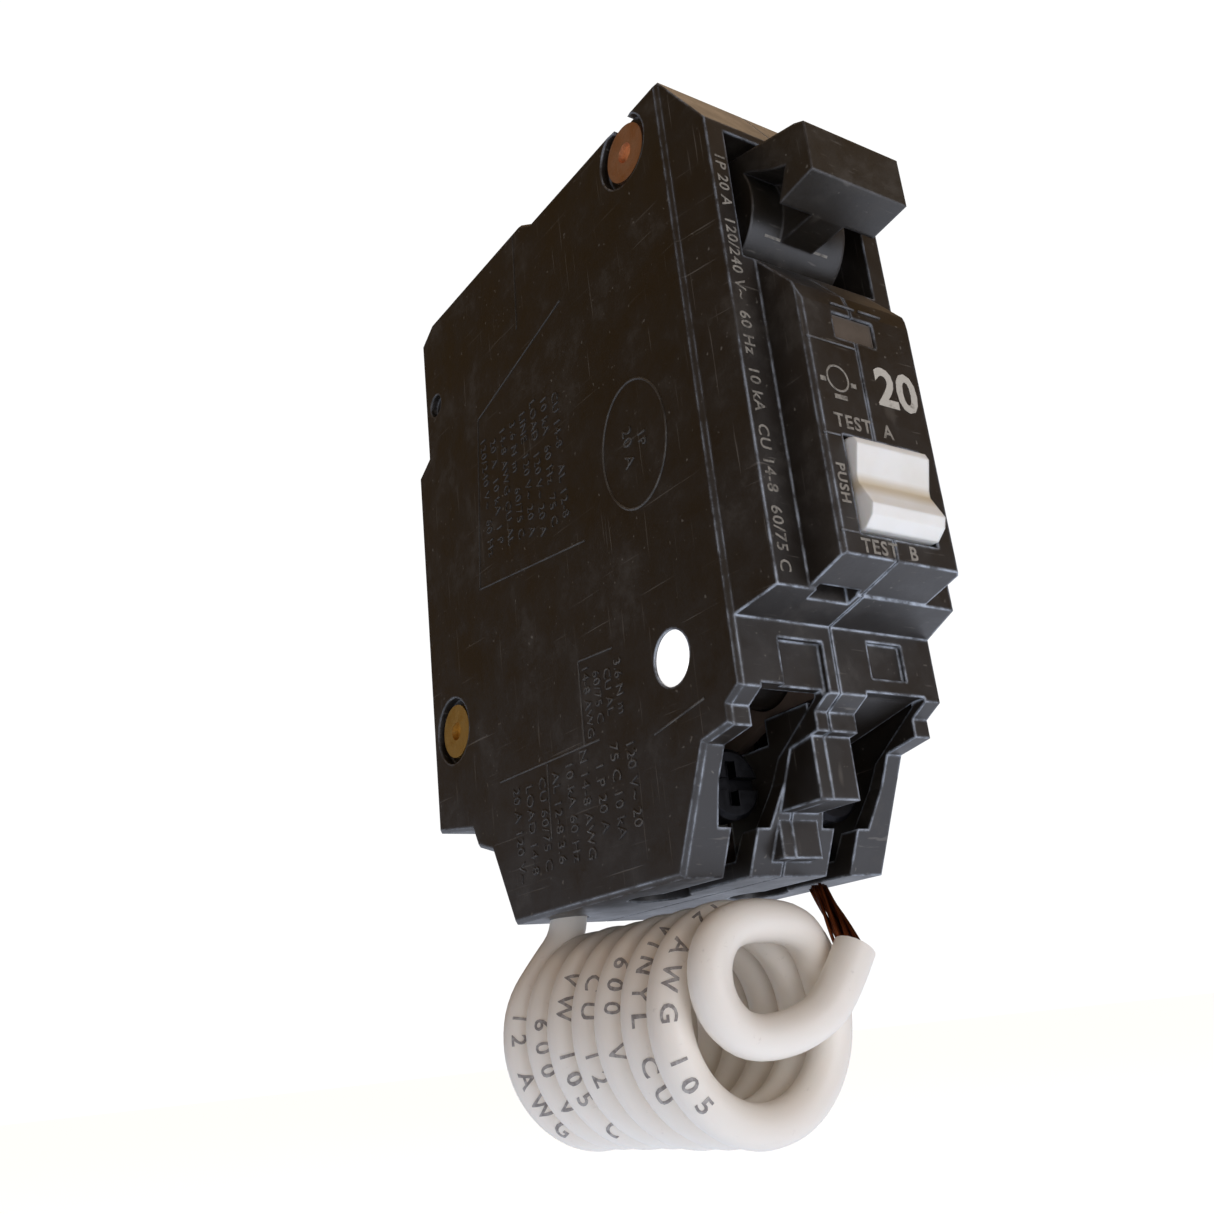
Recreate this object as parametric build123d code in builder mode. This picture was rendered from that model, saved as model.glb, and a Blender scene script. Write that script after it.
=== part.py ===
from build123d import *
import os
from math import cos, pi, radians, sin, tan

# One-pole, one-inch plug-in breaker with a fault-sensing board, a test rocker and a coiled pigtail.
# Millimetres. +X to the right, +Y to the back, +Z to the line end.
# The origin is the middle of the back rest face.

# ---------------------------------------------------------------- driving dimensions
case_w = 25.4            # side to side, the one-inch module
depth = 58.0             # sill plane to the back rest face
rest_h = 47.5            # height of the back rest face
line_h = 19.0            # rest face's upper edge to the line end
load_h = 13.0            # rest face's lower edge to the load end
wall = 1.8               # moulded wall
parting = -0.9           # the two shells meet left of the middle
divider_t = 1.2
edge = 0.4               # broken outer edges
seam_w = 0.2             # groove along the parting line
seam_deep = 0.3

shoulder_d = 4.7         # shoulder in front of the sill plane
shoulder_half = 11.1     # half width of the shoulder's face
nose_d = 4.7             # nose in front of the shoulder
nose_half = 7.35         # half width of the nose's face
nose_wall = 1.6
opening_half = 8.8       # half width of the handle opening
opening_h = 14.7         # height of the handle opening

handle_w = 12.6
hub_r = 6.2
pin_d = 3.0              # handle pin
run_fit = 0.05           # radial clearance of a turning fit
side_gap = 0.3           # gap between pieces that move past each other

rocker_w = 9.2
rocker_h = 8.8
rocker_gap = 0.4
window_w = 5.3
window_h = 2.7

arm_t = 2.4              # contact arm's thickness
contact_r = 2.2
contact_t = 1.2
contact_gap = 0.15
stab_gap = 1.8           # mouth of the line jaw
leaf_t = 1.2             # line jaw's leaf

screw_d = 4.0            # terminal screw
screw_head_d = 6.8
wire_gap = 4.8           # clear space in an open terminal
screw_travel = 3.2
terminal_x = 6.4         # terminals each side of the middle
lug_w = 8.0
lug_t = 1.2
strap_t = 1.0
strap_w = 3.0

tie_hole_d = 5.4         # hole through the whole breaker
sleeve_t = 0.45          # wall of the nylon sleeve that lines it
sleeve_in = 0.25         # sleeve's ends lie this far inside the case's sides
rivet_d = 3.2
rivet_head_d = 6.4
rivet_head_t = 0.8
rivet_well_d = 8.0

wire_d = 3.9             # pigtail over its insulation
wire_fit = 0.1
coil_mean_r = 8.3
coil_turns = 7
coil_pitch = 4.1
coil_drop = 2.5          # the turns hang this far below the load end

board_t = 1.6

# ---------------------------------------------------------------- reference levels
half = case_w / 2
room = half - wall                       # half width inside
front = -depth                           # sill plane
shoulder_y = front - shoulder_d
nose_y = shoulder_y - nose_d
top = rest_h / 2 + line_h
bottom = -rest_h / 2 - load_h
sill = -rest_h / 2 + 8.0                 # foot of the shoulder
line_recess = 3.0                        # back face's step at the line end

hub_y, hub_z = front + 1.5, top - 15.0
opening_top = hub_z + hub_r + side_gap + 0.05
opening_low = opening_top - opening_h
nose_low = sill + 2.9
nose_top = opening_low - 5.0
rocker_z = sill + 9.8
window_z = nose_top - 4.0
window_x = -0.8
divider_x = (parting - divider_t / 2, parting + divider_t / 2)
divider_top = top - 26.5

arm_y, arm_z = front + 12.5, hub_z
stab_z = top - 9.5
jaw_y = (-line_recess - wall - 10.8, -line_recess - wall - 0.2)
contact_y = jaw_y[0] - 4.5
fixed_z = stab_z + stab_gap / 2 - contact_t           # fixed contact's face
moving_z = fixed_z - contact_gap                      # moving contact's face

screw_z = sill - 12.5
lug_front = front + 16.5
plate_y = (lug_front + 3.4, lug_front + 4.6)
lug_back = plate_y[1] + wire_gap
wire_y = plate_y[1] + wire_gap / 2

tie_y, tie_z = front + 9.0, sill - 1.2
rivet_spots = [(front + 6.8, top - 3.8), (-5.3, sill + 3.4)]


def slab(x, y, z, mode=Mode.ADD):
    """A block between two limits along each axis."""
    middle = ((x[0] + x[1]) / 2, (y[0] + y[1]) / 2, (z[0] + z[1]) / 2)
    with Locations(middle):
        Box(x[1] - x[0], y[1] - y[0], z[1] - z[0], mode=mode)


def rod_x(x, y, z, r, mode=Mode.ADD):
    """A round bar along X between two limits."""
    with Locations(Location(((x[0] + x[1]) / 2, y, z), (0, 90, 0))):
        Cylinder(r, x[1] - x[0], mode=mode)


def rod_y(x, y, z, r, mode=Mode.ADD):
    """A round bar along Y between two limits."""
    with Locations(Location((x, (y[0] + y[1]) / 2, z), (90, 0, 0))):
        Cylinder(r, y[1] - y[0], mode=mode)


def rod_z(x, y, z, r, mode=Mode.ADD):
    """A round bar along Z between two limits."""
    with Locations((x, y, (z[0] + z[1]) / 2)):
        Cylinder(r, z[1] - z[0], mode=mode)


def plate_x(x, points, mode=Mode.ADD, soften=0):
    """A plate across X whose outline is drawn in Y and Z."""
    with BuildSketch(Plane.YZ.offset(x[0])) as outline:
        with BuildLine():
            Polyline(*points, close=True)
        make_face()
        if soften:
            fillet(outline.vertices(), soften)
    extrude(outline.sketch, amount=x[1] - x[0], mode=mode)


def save(piece, name):
    """Labels a finished piece and writes its STEP file."""
    piece.part.label = name
    export_step(piece.part, "parts/" + name + ".step")


os.makedirs("parts", exist_ok=True)

# ---------------------------------------------------------------- the two moulded shells
foot = -rest_h / 2
side_outline = [
    (front, sill - 6.4), (front, top), (front + 25.6, top), (front + 28.0, top + 1.4),
    (-6.3, top + 1.4), (-line_recess, top - 0.4), (-line_recess, rest_h / 2 + 1.6),
    (0, rest_h / 2), (0, foot), (-8.4, foot - 1.3), (-9.4, foot - 3.4), (-12.7, foot - 4.5),
    (-16.5, bottom), (front + 11.4, bottom), (front + 6.0, sill - 10.1),
    (front + 2.0, sill - 9.4), (front + 2.0, sill - 7.6),
]
inner_outline = [
    (front + wall, sill - 6.4), (front + wall, top - wall), (-line_recess - wall, top - wall),
    (-line_recess - wall, rest_h / 2 + 1.0), (-wall, rest_h / 2 - 1.0), (-wall, foot + wall),
    (-10.6, foot - 0.2), (-14.0, foot - 3.4), (-17.9, bottom + wall),
    (front + 11.4 + wall, bottom + wall), (front + 6.0 + wall, sill - 10.6),
]
shoulder_low = 1.3       # the shoulder's foot rises this much towards its face
shoulder_top = top - 7.5
nose_outline = [
    (front, sill + 0.2), (shoulder_y, sill + 1.5), (nose_y, nose_low), (nose_y, nose_top - 2.0),
    (nose_y + 0.6, nose_top), (shoulder_y, opening_low), (front, opening_low)]

with BuildPart() as casing:
    plate_x((-half, half), side_outline)
    sides = casing.faces().sort_by(Axis.X)
    chamfer(sides[0].edges() + sides[-1].edges(), edge)
    # shoulder: narrows from the case's width to its own face
    with BuildSketch(Plane.XZ.offset(-front)):
        with Locations((0, (sill + top) / 2)):
            Rectangle(case_w - 2 * edge, top - sill)
    with BuildSketch(Plane.XZ.offset(-shoulder_y)):
        with Locations((0, (sill + shoulder_low + shoulder_top) / 2)):
            Rectangle(2 * shoulder_half, shoulder_top - sill - shoulder_low)
    loft()
    # nose: stands in front of the shoulder below the handle
    plate_x((-nose_half, nose_half), nose_outline)
    nose_edges = casing.edges().filter_by(Axis.Z).filter_by_position(
        Axis.Y, nose_y - 0.1, nose_y + 0.1)
    chamfer(nose_edges, edge)

    # rooms: the main one, the nose's and the handle opening
    plate_x((-room, room), inner_outline, Mode.SUBTRACT)
    slab((-nose_half + nose_wall, nose_half - nose_wall), (nose_y + nose_wall, front + wall + 1),
         (sill + 3.4, nose_top - nose_wall), Mode.SUBTRACT)
    slab((-opening_half, opening_half), (nose_y - 1, front + wall + 1),
         (opening_low, opening_top), Mode.SUBTRACT)
    # rocker opening and indicator window
    slab((-rocker_w / 2 - side_gap, rocker_w / 2 + side_gap), (nose_y - 1, nose_y + nose_wall + 1),
         (rocker_z - rocker_h / 2 - rocker_gap, rocker_z + rocker_h / 2 + rocker_gap), Mode.SUBTRACT)
    slab((window_x - window_w / 2, window_x + window_w / 2), (nose_y - 1, nose_y + nose_wall + 1),
         (window_z - window_h / 2, window_z + window_h / 2), Mode.SUBTRACT)

    # terminal pockets, their slots to the load end and the wire entries
    for side in (-1, 1):
        middle = side * terminal_x
        with BuildSketch(Plane.XZ.offset(-(front - 1))):
            with BuildLine():
                Polyline((middle - 3.9, sill - 6.0), (middle + 3.9, sill - 6.0), (middle + 3.9, sill - 13.0),
                         (middle + 3.1, sill - 16.8), (middle - 3.1, sill - 16.8),
                         (middle - 3.9, sill - 13.0), close=True)
            make_face()
        extrude(amount=-(lug_front - front + 0.6), mode=Mode.SUBTRACT)
        slab((middle - 1.6, middle + 1.6), (front - 1, wire_y), (bottom - 1, sill - 16.0), Mode.SUBTRACT)
        rod_z(middle, wire_y, (bottom - 1, bottom + wall + 1), 3.2, Mode.SUBTRACT)
    # ribs beside the parting plane carry the centre web between the pockets
    slab((-2.4, 2.4), (front + 3.0, front + 9.0), (sill - 15.5, sill - 6.5))
    slab((-2.4, 2.4), (front + 9.0, lug_front - 0.6), (bottom + wall - 0.5, sill - 9.0))

    # shallow panels in the sill face, each side of the web
    slab((-7.6, -2.2), (front - 0.1, front + 0.7), (sill - 6.4, sill - 1.6), Mode.SUBTRACT)
    slab((3.6, 8.2), (front - 0.1, front + 0.5), (sill - 4.6, sill - 1.0), Mode.SUBTRACT)

    # stab mouth in the back
    slab((-8.6, 8.6), (-line_recess - wall - 1, 1), (stab_z - 2.3, stab_z + 2.3), Mode.SUBTRACT)

    # bosses for the rivets, the tie hole and the handle pin
    for y, z in rivet_spots:
        rod_x((-half, half), y, z, rivet_d / 2 + wall)
    rod_x((-half, half), tie_y, tie_z, tie_hole_d / 2 + 1.4)
    for side in (-1, 1):
        ends = sorted((side * (handle_w / 2 + side_gap), side * room))
        rod_x(ends, hub_y, hub_z, pin_d / 2 + 1.6)
    for y, z in rivet_spots:
        rod_x((-half - 1, half + 1), y, z, rivet_d / 2 + run_fit, Mode.SUBTRACT)
        for side in (-1, 1):
            ends = sorted((side * (half + 1), side * (half - rivet_head_t - 0.4)))
            rod_x(ends, y, z, rivet_well_d / 2, Mode.SUBTRACT)
    rod_x((-half - 1, half + 1), tie_y, tie_z, tie_hole_d / 2, Mode.SUBTRACT)
    rod_x((-room - 0.9, room + 0.9), hub_y, hub_z, pin_d / 2 + run_fit, Mode.SUBTRACT)
    rod_x((-nose_half + 0.7, nose_half - 0.7), nose_y + nose_wall + 1.0, rocker_z, 0.75, Mode.SUBTRACT)
    # small blind dimples left by the mould's pins
    for side in (-1, 1):
        ends = sorted((side * (half + 1), side * (half - 1.0)))
        rod_x(ends, -6.0, top - 11.0, 1.5, Mode.SUBTRACT)
    # undercut between the left half of the nose and the shoulder
    slab((-nose_half + 0.8, parting - 0.7), (shoulder_y - 0.5, shoulder_y + 1.3), (sill, sill + 2.8), Mode.SUBTRACT)
    # sloping ceiling that leads a screwdriver into the right pocket
    plate_x((terminal_x - 3.9, terminal_x + 3.9), [
        (front + 0.8, sill - 5.9), (lug_front - 0.6, sill - 5.9), (lug_front - 0.6, sill - 9.0)])
    # pigtail's way out of the load end
    exit_x, exit_y = -8.0, -20.3
    rod_z(exit_x, exit_y, (bottom - 1, bottom + wall + 1), wire_d / 2 + wire_fit, Mode.SUBTRACT)
    # slit for the rail hook
    slab((-6.1, 6.1), (-13.7, -9.0), (foot - 3.55, foot - 2.65), Mode.SUBTRACT)

shoulder_outline = [(front, sill), (shoulder_y, sill + shoulder_low), (shoulder_y, shoulder_top), (front, top)]
with BuildPart() as seam:
    with BuildSketch(Plane.YZ.offset(parting - seam_w / 2)) as seam_face:
        for points in (side_outline, shoulder_outline, nose_outline):
            with BuildLine():
                Polyline(*points, close=True)
            make_face()
        offset(amount=-seam_deep, kind=Kind.INTERSECTION, mode=Mode.SUBTRACT)
    extrude(amount=seam_w)

with BuildPart() as left_case:
    add(casing.part)
    add(seam.part, mode=Mode.SUBTRACT)
    split(bisect_by=Plane.YZ.offset(parting), keep=Keep.BOTTOM)
save(left_case, "left_case")

with BuildPart() as right_case:
    add(casing.part)
    add(seam.part, mode=Mode.SUBTRACT)
    split(bisect_by=Plane.YZ.offset(parting), keep=Keep.TOP)
save(right_case, "right_case")

# ---------------------------------------------------------------- divider between the two rooms
sensor_y = (front + 29.0, front + 34.2)
sensor_r = 7.4
sensor_hole_r = 4.0
sensor_z = bottom + wall + sensor_r + 0.9
solenoid_y = (-18.5, -7.5)
solenoid_z = 5.0
divider_gap = 0.2

with BuildPart() as divider:
    plate_x(divider_x, [
        (front + wall + divider_gap, sill - 6.0), (front + wall + divider_gap, divider_top - 3.0),
        (front + wall + 3.0, divider_top), (-wall - divider_gap, divider_top),
        (-wall - divider_gap, foot + wall + 0.3), (-10.9, foot), (-14.3, foot - 3.2),
        (-18.1, bottom + wall + divider_gap),
        (lug_front - 0.4, bottom + wall + divider_gap), (lug_front - 0.4, sill - 8.8),
        (front + 9.2, sill - 6.2)])
    slab((divider_x[0] - 1, divider_x[1] + 1), (sensor_y[0] - 0.4, sensor_y[1] + 0.4),
         (bottom, sensor_z + sensor_r + 0.4), Mode.SUBTRACT)
    slab((divider_x[0] - 1, divider_x[1] + 1), (sensor_y[1] - 1, 0), (bottom, sensor_z - 0.5), Mode.SUBTRACT)
    slab((divider_x[0] - 1, divider_x[1] + 1), (-25.2, -20.6), (solenoid_z - 2.2, solenoid_z + 2.2),
         Mode.SUBTRACT)
    for y, z in rivet_spots:
        rod_x((-half, half), y, z, rivet_d / 2 + wall + divider_gap, Mode.SUBTRACT)
    rod_x((-half, half), tie_y, tie_z, tie_hole_d / 2 + 1.4 + divider_gap, Mode.SUBTRACT)
save(divider, "divider")

# ---------------------------------------------------------------- rivets that hold the shells together
with BuildPart() as rivets:
    well = half - rivet_head_t - 0.4
    for y, z in rivet_spots:
        rod_x((-well, well), y, z, rivet_d / 2)
        for side in (-1, 1):
            rod_x(sorted((side * well, side * (well + rivet_head_t))), y, z, rivet_head_d / 2)
            rod_x(sorted((side * (well + 0.1), side * (well + rivet_head_t + 1))), y, z, 1.1, Mode.SUBTRACT)
save(rivets, "rivets")

# ---------------------------------------------------------------- sleeve that lines the tie hole
with BuildPart() as tie_sleeve:
    rod_x((-half + sleeve_in, half - sleeve_in), tie_y, tie_z, tie_hole_d / 2)
    rod_x((-half, half), tie_y, tie_z, tie_hole_d / 2 - sleeve_t, Mode.SUBTRACT)
save(tie_sleeve, "tie_sleeve")

# ---------------------------------------------------------------- handle on its pin
tab_reach = 14.4         # hub's middle to the front of the tab
tab_low = -3.1           # tab's lower edge from the hub's middle
tab_high = 2.4

with BuildPart() as handle:
    rod_x((-handle_w / 2, handle_w / 2), hub_y, hub_z, hub_r)
    plate_x((-handle_w / 2, handle_w / 2), [
        (hub_y - tab_reach, hub_z + tab_low), (hub_y - tab_reach, hub_z + tab_high),
        (hub_y - tab_reach + 1.2, hub_z + tab_high + 0.6), (hub_y - 1.5, hub_z + hub_r - 0.2),
        (hub_y - 3.5, hub_z + 2.0), (hub_y - 5.4, hub_z + 2.9), (hub_y - 9.4, hub_z + 0.4),
        (hub_y - 11.2, hub_z - 0.4), (hub_y - 9.6, hub_z - 3.7)])
    # web from the hub to the tab
    plate_x((-2.2, 2.2), [
        (hub_y - 9.6, hub_z - 3.7), (hub_y - 11.6, hub_z - 0.4), (hub_y - 5.0, hub_z + 3.2),
        (hub_y - 4.0, hub_z - 3.8)])
    # crank that drives the contact arm
    plate_x((-4.6, -2.8), [
        (hub_y, hub_z + 1.8), (hub_y + 7.6, hub_z - 2.9), (hub_y + 6.4, hub_z - 5.6), (hub_y, hub_z - 4.0)])
    rod_x((-half, half), hub_y, hub_z, pin_d / 2 + run_fit, Mode.SUBTRACT)
save(handle, "handle")

with BuildPart() as handle_pin:
    rod_x((-room - 0.7, room + 0.7), hub_y, hub_z, pin_d / 2)
    chamfer(handle_pin.edges().filter_by(GeomType.CIRCLE), 0.3)
save(handle_pin, "handle_pin")

# ---------------------------------------------------------------- contact arm and its silver tip
arm_pin_r = 1.2
arm_end = contact_y + contact_r + 0.2
arm_face = moving_z - contact_t

with BuildPart() as contact_arm:
    rod_x((-arm_t / 2, arm_t / 2), arm_y, arm_z, 2.6)
    plate_x((-arm_t / 2, arm_t / 2), [
        (arm_y, arm_z - 2.2), (arm_end - 1.5, arm_face - 2.4), (arm_end, arm_face - 1.6),
        (arm_end, arm_face), (contact_y - contact_r - 0.2, arm_face), (arm_y, arm_z + 2.2)])
    slab((-contact_r, contact_r), (contact_y - contact_r, arm_end), (arm_face - 1.0, arm_face))
    rod_x((-half, half), arm_y, arm_z, arm_pin_r + run_fit, Mode.SUBTRACT)
save(contact_arm, "contact_arm")

with BuildPart() as moving_contact:
    rod_z(0, contact_y, (arm_face, moving_z), contact_r)
save(moving_contact, "moving_contact")

with BuildPart() as arm_pin:
    rod_x((-room, room), arm_y, arm_z, arm_pin_r)
save(arm_pin, "arm_pin")

# ---------------------------------------------------------------- line jaw, its clip and the fixed contact
jaw_half = 7.6
leaf_in = stab_gap / 2

with BuildPart() as line_jaw:
    for side in (-1, 1):
        near, far = side * leaf_in, side * (leaf_in + leaf_t)
        tip = side * 1.0
        plate_x((-jaw_half, jaw_half), [
            (jaw_y[0], stab_z + near), (jaw_y[1] - 1.6, stab_z + near), (jaw_y[1], stab_z + near + tip),
            (jaw_y[1], stab_z + far + tip * 0.9), (jaw_y[1] - 2.2, stab_z + far),
            (jaw_y[0], stab_z + far)])
    slab((-jaw_half, jaw_half), (jaw_y[0] - leaf_t, jaw_y[0]),
         (stab_z - leaf_in - leaf_t, stab_z + leaf_in + leaf_t))
    slab((-3.0, 3.0), (contact_y - contact_r - 0.4, jaw_y[0]), (stab_z + leaf_in, stab_z + leaf_in + leaf_t))
save(line_jaw, "line_jaw")

with BuildPart() as jaw_clip:
    outer = leaf_in + leaf_t
    clip_t = 0.7
    clip_x = (3.5, 5.8)
    clip_front = jaw_y[0] - leaf_t - clip_t - 0.1
    for side in (-1, 1):
        slab((-clip_x[1], clip_x[1]), (jaw_y[0], jaw_y[1] - 2.8),
             sorted((stab_z + side * outer, stab_z + side * (outer + clip_t))))
        for x in (clip_x, (-clip_x[1], -clip_x[0])):
            slab(x, (clip_front, jaw_y[0]), sorted((stab_z + side * outer, stab_z + side * (outer + clip_t))))
            slab(x, (clip_front, clip_front + clip_t), sorted((stab_z, stab_z + side * (outer + clip_t))))
save(jaw_clip, "jaw_clip")

with BuildPart() as fixed_contact:
    rod_z(0, contact_y, (fixed_z, stab_z + leaf_in), contact_r)
save(fixed_contact, "fixed_contact")

# ---------------------------------------------------------------- arc chute
plate_count = 5
plate_pitch = 2.4
chute_y = (contact_y + contact_r + 1.8, -line_recess - wall - 1.1)
chute_z = stab_z - 14.8
liner_t = 0.8
chute_half = 7.0

with BuildPart() as arc_plates:
    for k in range(plate_count):
        z = chute_z + k * plate_pitch
        with BuildSketch(Plane.XY.offset(z)):
            with BuildLine():
                Polyline((-chute_half, chute_y[0]), (-chute_half, chute_y[1]), (chute_half, chute_y[1]),
                         (chute_half, chute_y[0]), (3.4, chute_y[0]), (0.9, chute_y[0] + 4.5),
                         (-0.9, chute_y[0] + 4.5), (-3.4, chute_y[0]), close=True)
            make_face()
        extrude(amount=1.0)
save(arc_plates, "arc_plates")

with BuildPart() as arc_liner:
    liner_z = (chute_z - 0.8, chute_z + (plate_count - 1) * plate_pitch + 1.8)
    for side in (-1, 1):
        slab(sorted((side * chute_half, side * (chute_half + liner_t))), (chute_y[0], chute_y[1] + liner_t),
             liner_z)
    slab((-chute_half, chute_half), (chute_y[1], chute_y[1] + liner_t), liner_z)
save(arc_liner, "arc_liner")

# ---------------------------------------------------------------- trip lever, its pin and its spring
cradle_y, cradle_z = front + 20.0, divider_top + 1.2
cradle_x = (-6.6, -5.0)
armature_y = -19.2       # back face of the armature
latch_z = divider_top - 1.2
latch_hold = 0.35        # how far the lever's tip sits on the armature's ledge
latch_gap = 0.65         # room under the tip, so that the ledge swings clear as the lever drops
cradle_tip = armature_y - 2.2 + latch_hold

with BuildPart() as cradle:
    rod_x(cradle_x, cradle_y, cradle_z, 2.6)
    plate_x(cradle_x, [
        (cradle_y, cradle_z - 2.2), (cradle_tip, latch_z + latch_gap), (cradle_tip, latch_z + latch_gap + 1.6),
        (cradle_y + 5.0, cradle_z + 3.0), (cradle_y + 2.2, cradle_z + 6.4), (cradle_y - 0.6, cradle_z + 6.4),
        (cradle_y - 1.5, cradle_z + 2.0)])
    slab((cradle_x[1], cradle_x[1] + 3.0), (cradle_y + 0.1, cradle_y + 1.1), (cradle_z + 4.4, cradle_z + 6.0))
    rod_x((-half, half), cradle_y, cradle_z, 1.0 + run_fit, Mode.SUBTRACT)
save(cradle, "cradle")

with BuildPart() as cradle_pin:
    rod_x((-room, -4.2), cradle_y, cradle_z, 1.0)
save(cradle_pin, "cradle_pin")

spring_r = 1.2
spring_wire_r = 0.22
spring_x = cradle_x[1] + 2.3
spring_y = (cradle_y - 5.8, cradle_y - 0.15)
spring_z = cradle_z + 5.2
spring_turns = 7

with BuildPart() as toggle_spring:
    with BuildLine() as coil_line:
        Helix(pitch=(spring_y[1] - spring_y[0]) / spring_turns, height=spring_y[1] - spring_y[0],
              radius=spring_r, center=(spring_x, spring_y[0], spring_z), direction=(0, 1, 0))
    with BuildSketch(Plane(origin=coil_line.line @ 0, z_dir=coil_line.line % 0)):
        Circle(spring_wire_r)
    sweep()
save(toggle_spring, "toggle_spring")

# ---------------------------------------------------------------- magnetic and thermal trip
bimetal_x = (-9.0, -3.6)
bimetal_y = (-16.8, -15.8)
strap_z = sensor_z

with BuildPart() as bimetal:
    slab(bimetal_x, bimetal_y, (foot + 5.0, divider_top - 4.6))
save(bimetal, "bimetal")

with BuildPart() as magnet_yoke:
    slab((-10.3, -2.3), (bimetal_y[1] + 1.2, bimetal_y[1] + 2.4), (-4.0, 8.0))
    for x in ((-10.3, -9.4), (-3.2, -2.3)):
        slab(x, (armature_y + 1.7, bimetal_y[1] + 1.3), (-4.0, 8.0))
save(magnet_yoke, "magnet_yoke")

armature_z = -5.0
with BuildPart() as armature:
    slab((-9.6, -2.9), (armature_y - 1.0, armature_y), (armature_z - 1.0, latch_z))
    slab((-7.6, -4.0), (armature_y - 2.2, armature_y - 1.0), (latch_z - 1.2, latch_z))
    rod_x((-9.6, -2.9), armature_y - 0.5, armature_z, 0.8)
save(armature, "armature")

with BuildPart() as calibration_screw:
    rod_y(-6.3, (bimetal_y[1] + strap_t + 0.1, bimetal_y[1] + 5.2), foot + 8.0, 1.2)
    rod_y(-6.3, (bimetal_y[1], bimetal_y[1] + strap_t + 0.1), foot + 8.0, 0.8)
    slab((-8.0, -4.6), (bimetal_y[1] + 5.0, bimetal_y[1] + 5.6), (foot + 7.7, foot + 8.3), Mode.SUBTRACT)
save(calibration_screw, "calibration_screw")

# ---------------------------------------------------------------- straps through the current sensor
strap_level = (strap_z - strap_w / 2, strap_z + strap_w / 2)
load_x = (-2.9, -2.9 + strap_t)
neutral_x = (0.9, 0.9 + strap_t)
lug_back_face = lug_back + lug_t

with BuildPart() as load_strap:
    slab((-8.2, -4.4), (bimetal_y[1], bimetal_y[1] + strap_t), (strap_level[0], foot + 12.0))
    slab((-8.2, load_x[1]), (bimetal_y[1], bimetal_y[1] + strap_t), strap_level)
    slab(load_x, (lug_back_face, bimetal_y[1] + strap_t), strap_level)
    slab((-terminal_x - 2, load_x[1]), (lug_back_face, lug_back_face + strap_t), strap_level)
    rod_y(-6.3, (bimetal_y[1] - 1, bimetal_y[1] + 3), foot + 8.0, 0.8 + run_fit, Mode.SUBTRACT)
save(load_strap, "load_strap")

bar_z = (strap_level[0] - 1.6, strap_level[0] - 0.4)
with BuildPart() as neutral_strap:
    slab((exit_x - 1.6, neutral_x[1]), (exit_y - 1.0, exit_y + 1.0), bar_z)
    slab(neutral_x, (lug_back_face, exit_y + 1.0), strap_level)
    slab(neutral_x, (exit_y - 1.0, exit_y + 1.0), (bar_z[0], strap_level[1]))
    slab((neutral_x[0], terminal_x + 2), (lug_back_face, lug_back_face + strap_t), strap_level)
save(neutral_strap, "neutral_strap")

with BuildPart() as current_sensor:
    rod_y(0, sensor_y, sensor_z, sensor_r)
    rod_y(0, (sensor_y[0] - 1, sensor_y[1] + 1), sensor_z, sensor_hole_r, Mode.SUBTRACT)
    fillet(current_sensor.edges().filter_by(GeomType.CIRCLE), 0.8)
save(current_sensor, "current_sensor")

# ---------------------------------------------------------------- the two screw terminals
lug_low, lug_high = screw_z - 4.6, screw_z + 5.6
head_y = (lug_front - screw_travel - 3.1, lug_front - screw_travel - 0.5)


def terminal(side):
    """One terminal: an inverted-U lug, a clamp plate that slides and its screw."""
    x = side * terminal_x
    across = (x - lug_w / 2, x + lug_w / 2)
    with BuildPart() as lug:
        slab(across, (lug_front, lug_front + lug_t + 0.4), (lug_low, lug_high))
        slab(across, (lug_back, lug_back_face), (lug_low, lug_high))
        slab(across, (lug_front, lug_back_face), (lug_high - lug_t, lug_high))
        rod_y(x, (lug_front - 1, lug_front + 3), screw_z, screw_d / 2 + run_fit, Mode.SUBTRACT)
    with BuildPart() as clamp:
        slab((x - 3.2, x + 3.2), plate_y, (screw_z - 3.0, screw_z + 3.0))
        chamfer(clamp.edges().filter_by(Axis.Y), 0.6)
    with BuildPart() as screw:
        rod_y(x, (head_y[1], plate_y[0]), screw_z, screw_d / 2)
        rod_y(x, head_y, screw_z, screw_head_d / 2)
        chamfer(screw.faces().sort_by(Axis.Y)[0].edges(), 0.4)
        slab((x - screw_head_d, x + screw_head_d), (head_y[0] - 1, head_y[0] + 1.2),
             (screw_z - 0.6, screw_z + 0.6), Mode.SUBTRACT)
        slab((x - 0.6, x + 0.6), (head_y[0] - 1, head_y[0] + 1.2),
             (screw_z - 2.1, screw_z + 2.1), Mode.SUBTRACT)
    return lug, clamp, screw


for side, name in ((-1, "load"), (1, "neutral")):
    lug, clamp, screw = terminal(side)
    save(lug, name + "_lug")
    save(clamp, name + "_clamp")
    save(screw, name + "_screw")

# ---------------------------------------------------------------- circuit board and what is soldered to it
board_x = (room - 0.9 - board_t, room - 0.9)
board_y = (front + 3.5, -9.5)
board_z = (sill + 4.5, divider_top - 1.0)

with BuildPart() as circuit_board:
    slab(board_x, board_y, board_z)
    chamfer(circuit_board.edges().filter_by(Axis.X), 1.0)
save(circuit_board, "circuit_board")

face_x = board_x[0]      # the board's component side
with BuildPart() as varistor:
    rod_x((face_x - 4.0, face_x - 1.0), front + 17.0, board_z[0] + 4.6, 4.0)
    fillet(varistor.edges().filter_by(GeomType.CIRCLE), 0.7)
    for dy in (-2.0, 2.0):
        slab((face_x - 1.2, face_x), (front + 16.7 + dy, front + 17.3 + dy), (board_z[0] + 4.3, board_z[0] + 4.9))
save(varistor, "varistor")

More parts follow.
